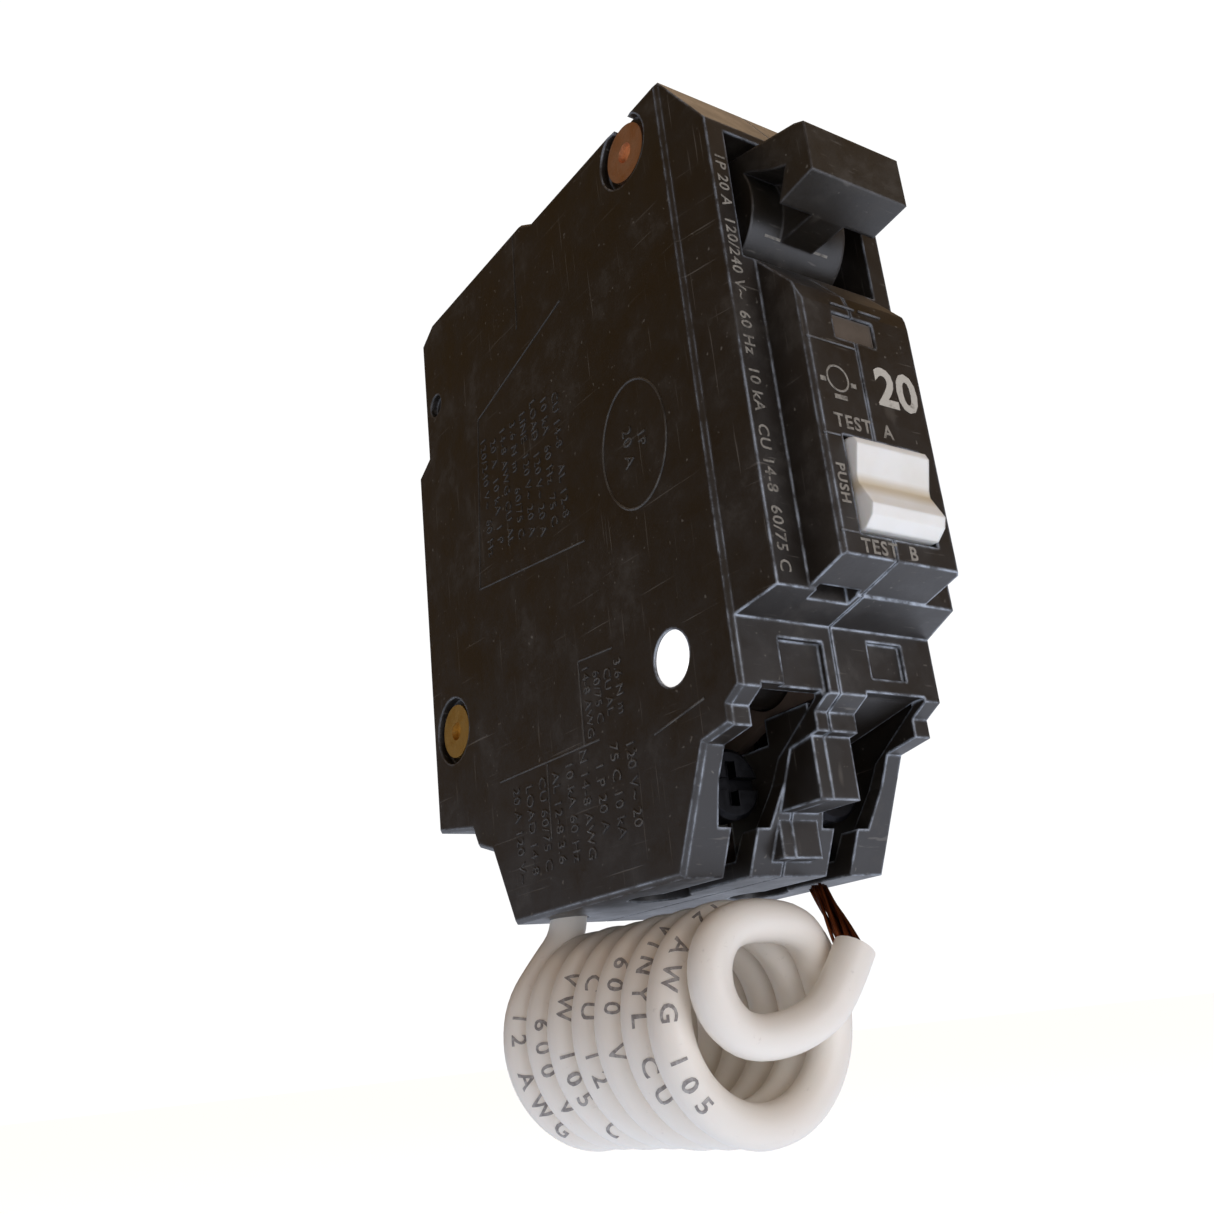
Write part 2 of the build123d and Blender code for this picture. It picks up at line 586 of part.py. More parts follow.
with BuildPart() as capacitor:
    rod_x((face_x - 6.6, face_x), front + 26.0, board_z[0] + 4.0, 3.1)
    fillet(capacitor.faces().sort_by(Axis.X)[0].edges(), 0.5)
save(capacitor, "capacitor")

with BuildPart() as film_capacitor:
    slab((face_x - 5.6, face_x), (front + 32.0, front + 37.4), (board_z[0] + 1.0, board_z[0] + 8.6))
    fillet(film_capacitor.edges(), 0.5)
save(film_capacitor, "film_capacitor")

with BuildPart() as thyristor:
    slab((face_x - 5.6, face_x - 1.6), (front + 27.6, front + 31.0), (board_z[1] - 7.4, board_z[1] - 3.4))
    for dz in (-1.3, 0, 1.3):
        slab((face_x - 1.8, face_x), (front + 29.0, front + 29.5),
             (board_z[1] - 5.7 + dz, board_z[1] - 5.2 + dz))
save(thyristor, "thyristor")

with BuildPart() as control_chip:
    chip_y, chip_z = front + 20.0, board_z[1] - 5.5
    slab((face_x - 1.6, face_x - 0.3), (chip_y - 4.4, chip_y + 4.4), (chip_z - 2.0, chip_z + 2.0))
    for k in range(7):
        for side in (-1, 1):
            y = chip_y - 3.81 + 1.27 * k
            slab((face_x - 0.9, face_x), (y - 0.2, y + 0.2), sorted((chip_z + side * 1.9, chip_z + side * 2.8)))
save(control_chip, "control_chip")

with BuildPart() as resistors:
    for k in range(4):
        y = front + 9.0 + 2.4 * k
        rod_z(face_x - 1.1, y, (board_z[1] - 13.6, board_z[1] - 10.0), 0.75)
        rod_z(face_x - 1.1, y, (board_z[1] - 14.8, board_z[1] - 8.8), 0.25)
        for z in (board_z[1] - 14.8, board_z[1] - 9.2):
            slab((face_x - 1.2, face_x), (y - 0.2, y + 0.2), (z, z + 0.4))
save(resistors, "resistors")

# leaves that the rocker presses to test each kind of fault
with BuildPart() as test_contacts:
    for side in (-1, 1):
        z = rocker_z + side * 2.8
        slab((1.6, face_x), (front + wall + 0.6, front + wall + 0.9), (z - 1.0, z + 1.0))
        slab((face_x - 0.4, face_x), (front + wall + 0.6, board_y[0] + 1.6), (z - 1.0, z + 1.0))
save(test_contacts, "test_contacts")

# ---------------------------------------------------------------- trip solenoid
sol_x = 4.2
plunger_r = 1.5

with BuildPart() as solenoid_frame:
    for y in ((solenoid_y[0], solenoid_y[0] + 1.0), (solenoid_y[1] - 1.0, solenoid_y[1])):
        slab((sol_x - 3.8, sol_x + 3.8), y, (solenoid_z - 4.6, solenoid_z + 3.8))
    slab((sol_x - 3.8, sol_x + 3.8), solenoid_y, (solenoid_z - 5.6, solenoid_z - 4.6))
    rod_y(sol_x, (solenoid_y[0] - 1, solenoid_y[0] + 2), solenoid_z, plunger_r + run_fit, Mode.SUBTRACT)
save(solenoid_frame, "solenoid_frame")

with BuildPart() as solenoid_coil:
    rod_y(sol_x, (solenoid_y[0] + 1.0, solenoid_y[1] - 1.0), solenoid_z, 3.6)
    rod_y(sol_x, (solenoid_y[0], solenoid_y[1] - 2.0), solenoid_z, plunger_r + run_fit, Mode.SUBTRACT)
save(solenoid_coil, "solenoid_coil")

with BuildPart() as plunger:
    rod_y(sol_x, (-24.0, solenoid_y[1] - 4.0), solenoid_z, plunger_r)
    slab((-5.6, sol_x + 1.6), (-24.6, -23.8), (solenoid_z - 1.6, solenoid_z + 1.6))
save(plunger, "plunger")

# ---------------------------------------------------------------- indicator
with BuildPart() as indicator_lens:
    lens_gap = 0.05
    slab((window_x - window_w / 2 + lens_gap, window_x + window_w / 2 - lens_gap),
         (nose_y + 0.25, nose_y + nose_wall + 0.1),
         (window_z - window_h / 2 + lens_gap, window_z + window_h / 2 - lens_gap))
    slab((0.5, 2.0), (nose_y + nose_wall, front + wall + 0.4), (window_z - 1.2, window_z + 1.2))
save(indicator_lens, "indicator_lens")

with BuildPart() as indicator_led:
    rod_y(1.7, (front + wall + 0.5, front + wall + 3.4), window_z, 1.2)
    for dz in (-0.8, 0.4):
        slab((1.7, face_x), (front + wall + 3.0, front + wall + 3.4), (window_z + dz, window_z + dz + 0.4))
save(indicator_led, "indicator_led")

# ---------------------------------------------------------------- test rocker on its pin
rocker_pin_y = nose_y + nose_wall + 1.0
rocker_pin_r = 0.7
rocker_face = nose_y - 0.3

with BuildPart() as test_rocker:
    r_low, r_high = rocker_z - rocker_h / 2, rocker_z + rocker_h / 2
    plate_x((-rocker_w / 2, rocker_w / 2), [
        (rocker_face - 0.1, r_low), (rocker_face - 1.1, r_low + 0.9), (rocker_face - 1.4, r_low + 1.9),
        (rocker_face - 0.2, rocker_z - 0.1), (rocker_face - 0.2, rocker_z + 0.6),
        (rocker_face - 0.9, r_high - 0.9), (rocker_face - 0.6, r_high - 0.2), (rocker_face, r_high),
        (rocker_pin_y + 0.6, r_high), (rocker_pin_y + 1.6, rocker_z + 2.2),
        (rocker_pin_y + 1.6, rocker_z - 2.2), (rocker_pin_y + 0.6, r_low)])
    slab((2.2, 3.4), (rocker_pin_y, front + wall - 0.6), (rocker_z - 2.6, rocker_z + 2.6))
    rod_x((-half, half), rocker_pin_y, rocker_z, rocker_pin_r + run_fit, Mode.SUBTRACT)
save(test_rocker, "test_rocker")

with BuildPart() as rocker_pin:
    rod_x((-nose_half + 0.8, nose_half - 0.8), rocker_pin_y, rocker_z, rocker_pin_r)
save(rocker_pin, "rocker_pin")

# ---------------------------------------------------------------- hook that snaps on the panel's rail
with BuildPart() as rail_hook:
    hook_z = foot - 3.5
    slab((-6.0, 6.0), (-13.6, -5.2), (hook_z, hook_z + 0.8))
    slab((-6.0, 6.0), (-6.0, -5.2), (hook_z, hook_z + 2.0))
save(rail_hook, "rail_hook")

# ---------------------------------------------------------------- braid from the contact arm to the bimetal
braid_r = 0.8
braid_points = [
    (-6.3, bimetal_y[1] + braid_r, divider_top - 8.0),
    (-6.0, bimetal_y[1] + braid_r + 0.1, divider_top - 3.6),
    (-4.0, bimetal_y[1] + 0.2, divider_top - 0.9),
    (-3.0, bimetal_y[1] - 3.4, divider_top + 1.7),
    (-2.6, bimetal_y[1] - 9.6, divider_top + 5.0),
    (-2.2, bimetal_y[1] - 15.6, arm_z + 0.4)]


def bend_radii(points, share=0.45):
    """The radius at each corner of a route: a share of its shorter run over tan of half the turn."""
    radii = []
    for a, b, c in zip(points, points[1:], points[2:]):
        back, ahead = Vector(*b) - Vector(*a), Vector(*c) - Vector(*b)
        half_turn = radians(back.get_angle(ahead)) / 2
        radii.append(share * min(back.length, ahead.length) / tan(half_turn))
    return radii


def tube(points, r):
    """A round tube along straight runs and tangent arcs, and the length of its middle line."""
    with BuildPart() as made:
        with BuildLine() as route:
            FilletPolyline(*points, radius=bend_radii(points))
        with BuildSketch(Plane(origin=route.line @ 0, z_dir=route.line % 0)):
            Circle(r)
        sweep()
    return made, sum(run.length for run in route.line.edges())


braid, braid_length = tube(braid_points, braid_r)
save(braid, "braid")

# ---------------------------------------------------------------- coiled pigtail
coil_rear = (-6.2, exit_y + 0.5)                 # X of the rear turn's middle, Y of the rear turn
coil_z = bottom - wire_d / 2 - coil_drop - coil_mean_r
coil_front_y = coil_rear[1] - coil_turns * coil_pitch + wire_d / 2
coil_back_y = coil_rear[1] + wire_d / 2

with BuildPart() as pigtail_coil:
    rod_y(coil_rear[0], (coil_front_y, coil_back_y), coil_z, coil_mean_r + wire_d / 2)
    rod_y(coil_rear[0], (coil_front_y - 1, coil_back_y + 1), coil_z, coil_mean_r - wire_d / 2, Mode.SUBTRACT)
save(pigtail_coil, "pigtail_coil")

with BuildPart() as pigtail_exit:
    rod_z(exit_x, exit_y, (bottom - coil_drop - 0.7, bar_z[0]), wire_d / 2)
save(pigtail_exit, "pigtail_exit")

# the last small loop in front of the coil, and its tail
loop_y = coil_front_y - wire_d / 2 - 0.15
loop_x, loop_z = coil_rear[0] - 1.4, coil_z + 3.8
loop_reach = 5.4         # from the loop's middle to the corners of its route
loop_points = [(coil_rear[0] + 8.0, loop_y + 3.0, loop_z + 2.6), (coil_rear[0] + 4.4, loop_y + 0.9, loop_z + 4.8)]
for angle in (112.5, 157.5, 202.5, 247.5):
    turn = radians(angle)
    loop_points.append((loop_x + loop_reach * cos(turn), loop_y, loop_z + loop_reach * sin(turn)))
loop_points += [(loop_x + 2.6, loop_y - 0.3, loop_z - 5.0), (loop_x + 6.6, loop_y - 0.9, loop_z - 3.6),
                (loop_x + 8.9, loop_y - 1.5, loop_z - 1.0), (loop_x + 10.9, loop_y - 1.7, loop_z + 1.9)]
pigtail_loop, loop_length = tube(loop_points, wire_d / 2)
save(pigtail_loop, "pigtail_loop")
print("loop radii, mm:", [round(r, 1) for r in bend_radii(loop_points)], "length", round(loop_length, 1),
      "volume ratio", round(pigtail_loop.part.volume / (pi * wire_d ** 2 / 4 * loop_length), 3))
print("braid radii, mm:", [round(r, 1) for r in bend_radii(braid_points)],
      "length", round(braid_length, 1))

# bare copper strands at the pigtail's end, fanned out a little
strand_r = 0.3
strand_length = 6.4
with BuildPart() as pigtail_strands:
    end = Vector(*loop_points[-1])
    ahead = (end - Vector(*loop_points[-2])).normalized()
    for k in range(7):
        ring = 0 if k == 0 else 0.68
        turn = 2 * pi * k / 6
        root = end + Vector(ring * cos(turn), ring * sin(turn), 0) - ahead * 0.6
        lean = Vector(0.10 * cos(turn) * (ring > 0) - 0.07, 0.40 + 0.08 * sin(turn) * (ring > 0), 0.92)
        with Locations(Plane(origin=root + lean.normalized() * strand_length / 2, z_dir=lean)):
            Cylinder(strand_r, strand_length)
save(pigtail_strands, "pigtail_strands")
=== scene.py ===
import math

import bmesh
import bpy
import numpy as np
from mathutils import Matrix, Vector


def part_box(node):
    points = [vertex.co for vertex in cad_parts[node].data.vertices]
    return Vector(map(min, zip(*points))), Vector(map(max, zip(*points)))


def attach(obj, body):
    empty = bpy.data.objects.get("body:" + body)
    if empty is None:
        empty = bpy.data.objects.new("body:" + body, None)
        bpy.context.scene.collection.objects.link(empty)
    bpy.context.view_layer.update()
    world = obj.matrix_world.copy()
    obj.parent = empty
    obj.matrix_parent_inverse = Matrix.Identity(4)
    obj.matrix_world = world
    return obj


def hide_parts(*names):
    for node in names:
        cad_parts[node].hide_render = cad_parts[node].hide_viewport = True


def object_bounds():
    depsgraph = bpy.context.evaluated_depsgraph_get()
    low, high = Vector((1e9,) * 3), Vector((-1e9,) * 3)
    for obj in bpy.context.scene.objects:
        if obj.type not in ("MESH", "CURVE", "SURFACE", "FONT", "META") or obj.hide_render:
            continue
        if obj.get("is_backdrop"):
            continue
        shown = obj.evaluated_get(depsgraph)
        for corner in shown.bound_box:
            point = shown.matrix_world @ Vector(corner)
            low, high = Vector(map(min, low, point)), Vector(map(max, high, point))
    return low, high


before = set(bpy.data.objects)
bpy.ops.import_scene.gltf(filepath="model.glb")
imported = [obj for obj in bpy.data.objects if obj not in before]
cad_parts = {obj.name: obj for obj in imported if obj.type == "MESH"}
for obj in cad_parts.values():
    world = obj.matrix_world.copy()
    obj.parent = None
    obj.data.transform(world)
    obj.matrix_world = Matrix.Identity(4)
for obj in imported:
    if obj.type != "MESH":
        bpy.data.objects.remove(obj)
cad_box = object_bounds()
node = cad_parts
mm = 0.001

# ---------------------------------------------------------------- studio
# A matt floor, a soft light low in front and a dim, warm room, so that what faces down is brightest.
# Floor and room are plain white to the camera only, and give less light than they seem to.
# The camera stands low on the left and looks up.
camera_place = (-0.0813, -0.1354, -0.0504)
camera_turn, camera_rise, camera_roll = -35.63, 19.55, 6.17
camera_lens = 36.86
floor_half, floor_z = 6, -0.085


def linear(hex_colour):
    """An sRGB hex colour as linear red, green, blue and alpha."""
    parts = [int(hex_colour[k:k + 2], 16) / 255 for k in (1, 3, 5)]
    return (*[p / 12.92 if p <= 0.04045 else ((p + 0.055) / 1.055) ** 2.4 for p in parts], 1.0)


def add(tree, kind, inputs=None, **settings):
    """Adds a shader node. Its inputs are plain values, or the sockets that feed them."""
    made = tree.nodes.new("ShaderNode" + kind)
    for key, value in settings.items():
        setattr(made, key, value)
    for key, value in (inputs or {}).items():
        if isinstance(value, bpy.types.NodeSocket):
            tree.links.new(value, made.inputs[key])
        else:
            made.inputs[key].default_value = value
    return made


def blank(name, **values):
    """A new material: itself, its node tree, its shader and its object coordinates."""
    made = bpy.data.materials.new(name)
    made.use_nodes = True
    shader = made.node_tree.nodes["Principled BSDF"]
    for key, value in values.items():
        shader.inputs[key.replace("_", " ")].default_value = value
    return made, made.node_tree, shader, add(made.node_tree, "TexCoord").outputs["Object"]


camera = bpy.data.objects.new("camera", bpy.data.cameras.new("camera"))
bpy.context.scene.collection.objects.link(camera)
camera.data.lens = camera_lens
camera.data.clip_start = 0.01
camera.matrix_world = (Matrix.Translation(camera_place)
                       @ Matrix.Rotation(math.radians(camera_turn), 4, "Z")
                       @ Matrix.Rotation(math.radians(90 + camera_rise), 4, "X")
                       @ Matrix.Rotation(math.radians(-camera_roll), 4, "Z"))
bpy.context.scene.camera = camera

floor_mesh = bpy.data.meshes.new("floor")
floor_mesh.from_pydata([(-floor_half, -floor_half, floor_z), (floor_half, -floor_half, floor_z),
                        (floor_half, floor_half, floor_z), (-floor_half, floor_half, floor_z)],
                       [], [(0, 1, 2, 3)])
floor = bpy.data.objects.new("floor", floor_mesh)
bpy.context.scene.collection.objects.link(floor)
floor_paint, tree, shader, place = blank("white_floor", Base_Color=linear("#e8ecf2"), Roughness=0.9)
seen = add(tree, "LightPath").outputs["Is Camera Ray"]
glow = add(tree, "Mix", {0: seen, 6: (0.58, 0.70, 0.90, 1), 7: (1, 1, 1, 1)}, data_type="RGBA")
tree.links.new(glow.outputs[2], shader.inputs["Emission Color"])
shader.inputs["Emission Strength"].default_value = 0.95
floor_mesh.materials.append(floor_paint)
floor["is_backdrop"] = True

for name, place, size, power, colour in (
        ("low_front", (0.02, -0.42, -0.06), 0.30, 0.9, "#f4f6ff"),
        ("left_fill", (-0.40, -0.25, -0.03), 0.30, 0.12, "#fff3e6"),
        ("top_warm", (0.10, -0.05, 0.50), 0.40, 0.6, "#ffdcb8")):
    lamp = bpy.data.lights.new(name, "AREA")
    lamp.size = size
    lamp.energy = power
    lamp.color = linear(colour)[:3]
    light = bpy.data.objects.new(name, lamp)
    light.location = place
    light.rotation_euler = (Vector((0, -0.03, -0.01)) - Vector(place)).to_track_quat("-Z", "Y").to_euler()
    bpy.context.scene.collection.objects.link(light)

world = bpy.data.worlds.new("room")
world.use_nodes = True
room = world.node_tree
seen = add(room, "LightPath").outputs["Is Camera Ray"]
warm = add(room, "Background", {"Color": linear("#94713f"), "Strength": 0.36})
white = add(room, "Background", {"Color": (1, 1, 1, 1), "Strength": 1.05})
shown = add(room, "MixShader", {0: seen, 1: warm.outputs[0], 2: white.outputs[0]})
room.links.new(shown.outputs[0], room.nodes["World Output"].inputs["Surface"])
bpy.context.scene.world = world
bpy.context.scene.view_settings.view_transform = "Standard"

# ---------------------------------------------------------------- pigtail
# The neutral lead: stranded copper in white extruded vinyl, wound in six and a half loose turns
# below the load end, with one smaller loop in front. It hangs by its own stiffness.
wire_d = 3.9 * mm
exit_at = (-8.0, -20.3, -36.75)
turn_middle = (-6.2, -49.1)          # X and Z of the rear turn's middle, mm
turn_drift = 0.05                    # how far each turn's middle lies to the right of the last, mm
rear_y, turn_pitch = -19.8, 4.13
turns = 6.5
turn_points = 16
turn_tall = 1.05                     # the turns hang a little taller than wide
turn_sizes = (8.5, 8.25, 8.35, 8.2, 8.4, 8.3, 8.45, 8.3)


def turn_size(count):
    """The radius of the winding after that many turns, read between the turns' own sizes."""
    return float(np.interp(count, range(len(turn_sizes)), turn_sizes))


route = [(exit_at[0], exit_at[1], exit_at[2] + 1.6), (-8.2, -20.3, -38.4), (-11.2, -20.1, -41.6),
         (-14.2, -19.9, -45.2)]
for step in range(int(turns * turn_points) + 1):
    count = step / turn_points
    angle = math.radians(180 + 360 * count)
    reach = turn_size(count) / math.cos(math.pi / turn_points)
    route.append((turn_middle[0] + turn_drift * count + reach * math.cos(angle),
                  rear_y - turn_pitch * count,
                  turn_middle[1] + turn_tall * reach * math.sin(angle)))
loop_middle = (-7.6, -45.7)
loop_reach = 5.4
loop_y = -48.65
route += [(2.5, -46.5, -46.6), (1.8, -46.2, -43.1), (-1.8, -47.75, -40.9)]
for angle in (112.5, 157.5, 202.5, 247.5):
    route.append((loop_middle[0] + loop_reach * math.cos(math.radians(angle)), loop_y,
                  loop_middle[1] + loop_reach * math.sin(math.radians(angle))))
route += [(-5.0, -48.95, -50.7), (-1.0, -49.55, -49.3), (1.3, -50.15, -46.7), (3.3, -50.35, -43.8)]
route = np.array(route) * mm

pigtail_line = bpy.data.curves.new("pigtail", "CURVE")
pigtail_line.dimensions = "3D"
spline = pigtail_line.splines.new("NURBS")
spline.points.add(len(route) - 1)
spline.points.foreach_set("co", np.c_[route, np.ones(len(route))].ravel())
spline.order_u = 3
spline.use_endpoint_u = True
spline.resolution_u = 5
spline.use_smooth = True
pigtail_line.twist_mode = "MINIMUM"


def middle_line(curve):
    """Points down the middle of a curve that has no thickness yet."""
    bare = bpy.data.objects.new("bare", curve)
    line = bpy.data.meshes.new_from_object(bare)
    points = np.zeros(len(line.vertices) * 3)
    line.vertices.foreach_get("co", points)
    bpy.data.meshes.remove(line)
    bpy.data.objects.remove(bare)
    return points.reshape(-1, 3)


wire_path = middle_line(pigtail_line)
wire_along = np.r_[0, np.cumsum(np.linalg.norm(np.diff(wire_path, axis=0), axis=1))]
pigtail_line.bevel_depth = wire_d / 2
pigtail_line.bevel_resolution = 7
pigtail_line.use_fill_caps = True
pigtail = bpy.data.objects.new("pigtail", pigtail_line)
bpy.context.scene.collection.objects.link(pigtail)

# extruded vinyl: slightly waxy, off-white, with a warm stain and faint handling marks
vinyl, tree, shader, place = blank(
    "extruded_vinyl", Roughness=0.42, IOR=1.54, Subsurface_Weight=0.12, Subsurface_Radius=(0.9, 0.7, 0.6),
    Subsurface_Scale=0.001)
stain = add(tree, "TexNoise", {"Vector": place, "Scale": 70.0, "Detail": 4.0})
tint = add(tree, "Mix", {0: stain.outputs[0], 6: linear("#f0e4d4"), 7: linear("#fdf6ea")}, data_type="RGBA")
marks = add(tree, "TexNoise", {"Vector": place, "Scale": 900.0, "Detail": 3.0, "Roughness": 0.7})
grime = add(tree, "MapRange", {0: marks.outputs[0], 1: 0.66, 2: 0.76, 3: 0.0, 4: 0.22})
dirty = add(tree, "Mix", {0: grime.outputs[0], 6: tint.outputs[2], 7: linear("#a39486")}, data_type="RGBA")
tree.links.new(dirty.outputs[2], shader.inputs["Base Color"])
dents = add(tree, "TexNoise", {"Vector": place, "Scale": 260.0, "Detail": 2.0})
bump = add(tree, "Bump", {"Height": dents.outputs[0], "Strength": 0.12, "Distance": 0.0002})
tree.links.new(bump.outputs[0], shader.inputs["Normal"])
pigtail_line.materials.append(vinyl)
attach(pigtail, "case")
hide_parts("pigtail_exit", "pigtail_coil", "pigtail_loop")


def piece(name, points, faces, body, finish, smooth=False):
    """A mesh piece made of corners and faces, in the part's own frame, that rides on a body."""
    mesh = bpy.data.meshes.new(name)
    mesh.from_pydata(np.asarray(points).tolist(), [], [tuple(f) for f in faces])
    mesh.validate()
    mesh.polygons.foreach_set("use_smooth", [smooth] * len(mesh.polygons))
    mesh.materials.append(finish)
    thing = bpy.data.objects.new(name, mesh)
    bpy.context.scene.collection.objects.link(thing)
    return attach(thing, body)


def letters(words, height, thick, heavier=0.0, spread=1.0):
    """A line of letters as a closed solid centred on the page, with Z out of it: corners and faces."""
    line = bpy.data.curves.new("letters", "FONT")
    line.body = words
    line.size = height / 0.7
    line.extrude = thick / 2
    line.offset = heavier
    line.space_character = spread
    line.align_x, line.align_y = "CENTER", "CENTER"
    line.resolution_u = 3
    solid = bpy.data.objects.new("letters", line)
    mesh = bpy.data.meshes.new_from_object(solid)
    corners = np.zeros(len(mesh.vertices) * 3)
    mesh.vertices.foreach_get("co", corners)
    faces = [tuple(f.vertices) for f in mesh.polygons]
    bpy.data.objects.remove(solid)
    bpy.data.meshes.remove(mesh)
    return corners.reshape(-1, 3), faces


def joined(parts):
    """Several lots of corners and faces as one."""
    points, faces = [], []
    for corners, rims in parts:
        start = sum(len(p) for p in points)
        points.append(np.asarray(corners))
        faces += [tuple(k + start for k in f) for f in rims]
    return np.concatenate(points), faces


def fine(corners, faces, longest):
    """The same solid in triangles with no edge much longer than that, so that it can be bent."""
    work = bmesh.new()
    made = [work.verts.new(c) for c in corners]
    for rim in faces:
        work.faces.new([made[k] for k in rim])
    bmesh.ops.triangulate(work, faces=work.faces[:])
    for _ in range(4):
        long = [e for e in work.edges if e.calc_length() > longest]
        bmesh.ops.subdivide_edges(work, edges=long, cuts=1)
        bmesh.ops.triangulate(work, faces=work.faces[:])
    work.verts.index_update()
    points = np.array([tuple(v.co) for v in work.verts])
    rims = [tuple(v.index for v in f.verts) for f in work.faces]
    work.free()
    return points, rims


def round_wire(corners, start, lean, radius):
    """Bends letters from a flat page round the wire: X runs along it, Y round it and Z out of it."""
    at = start + corners[:, 0]
    p = np.stack([np.interp(at, wire_along, wire_path[:, k]) for k in range(3)], 1)
    q = np.stack([np.interp(at + 2e-4, wire_along, wire_path[:, k]) for k in range(3)], 1)
    ahead = (q - p) / np.linalg.norm(q - p, axis=1)[:, None]
    front = np.array([0.0, -1.0, 0.0]) - ahead * -ahead[:, 1:2]
    front /= np.linalg.norm(front, axis=1)[:, None]
    out = np.cross(ahead, front)
    turn = lean + corners[:, 1] / radius
    normal = out * np.cos(turn)[:, None] + front * np.sin(turn)[:, None]
    return p + normal * (radius + corners[:, 2])[:, None]


# printed marks along the wire: grey ink, worn away in places
ink, tree, shader, place = blank("wire_ink", Roughness=0.6)
worn = add(tree, "TexNoise", {"Vector": place, "Scale": 1500.0, "Detail": 4.0, "Roughness": 0.7})
left = add(tree, "MapRange", {0: worn.outputs[0], 1: 0.42, 2: 0.62})
grey = add(tree, "Mix", {0: left.outputs[0], 6: linear("#8a837e"), 7: linear("#b5afa9")}, data_type="RGBA")
tree.links.new(grey.outputs[2], shader.inputs["Base Color"])
print_height = 1.5 * mm
turn_length = 2 * math.pi * 8.3 * mm
first_turn = 0.018
prints = []
for words, at, lean in (
        ("12 AWG", 0.02, 0.8), ("600 V", 1.04, 0.8), ("VW 105 C", 2.06, 0.8), ("CU 12", 3.04, 0.8),
        ("600 V", 4.04, 0.8), ("VINYL CU", 5.08, 0.8), ("12 AWG 105", 6.10, 0.9)):
    corners, rims = fine(*letters(words, print_height, 0.06 * mm, 0.03 * mm, 1.75), 0.35 * mm)
    start = first_turn + turn_length * at
    prints.append((round_wire(corners, start, lean, wire_d / 2), rims))
wire_print = piece("pigtail_print", *joined(prints), "case", ink)

# bare strands at the cut end, still a little twisted, browned by heat
strand_count, strand_r = 19, 0.17 * mm
strand_base = np.array((3.1, -50.25, -44.3)) * mm
strand_tip = np.array((2.6, -47.4, -37.6)) * mm
rng = np.random.default_rng(4)


def strand(number):
    """One strand: a thin tube whose middle circles the bundle's line as it climbs."""
    up = np.linspace(0, 1, 14)
    spoke = 2.399963 * number
    away = np.sqrt((number + 0.5) / strand_count) * 1.25 * mm
    wide = away * (1 - 0.35 * up + 0.15 * np.sin(3 * up + number))
    turn = spoke + 1.1 * up + rng.normal(0, 0.12)
    line = strand_base + np.outer(up, strand_tip - strand_base) * (0.93 + 0.07 * rng.random())
    line = line + np.stack([wide * np.cos(turn), wide * np.sin(turn), 0 * up], 1)
    sides = np.linspace(0, 2 * np.pi, 8, endpoint=False)
    ring = np.stack([np.cos(sides), np.sin(sides), 0 * sides], 1) * strand_r
    points = (line[:, None] + ring[None]).reshape(-1, 3)
    rims = [(i * 8 + j, i * 8 + (j + 1) % 8, (i + 1) * 8 + (j + 1) % 8, (i + 1) * 8 + j)
            for i in range(13) for j in range(8)]
    rims += [tuple(range(7, -1, -1)), tuple(range(104, 112))]
    return points, rims


copper, tree, shader, place = blank("browned_copper", Metallic=1.0, Roughness=0.38)
heat = add(tree, "TexNoise", {"Vector": place, "Scale": 500.0, "Detail": 3.0})
tint = add(tree, "Mix", {0: heat.outputs[0], 6: linear("#3a1a0e"), 7: linear("#8a4c2c")}, data_type="RGBA")
tree.links.new(tint.outputs[2], shader.inputs["Base Color"])
strands = piece("pigtail_strand_bundle", *joined([strand(k) for k in range(strand_count)]), "case", copper,
                True)
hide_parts("pigtail_strands")
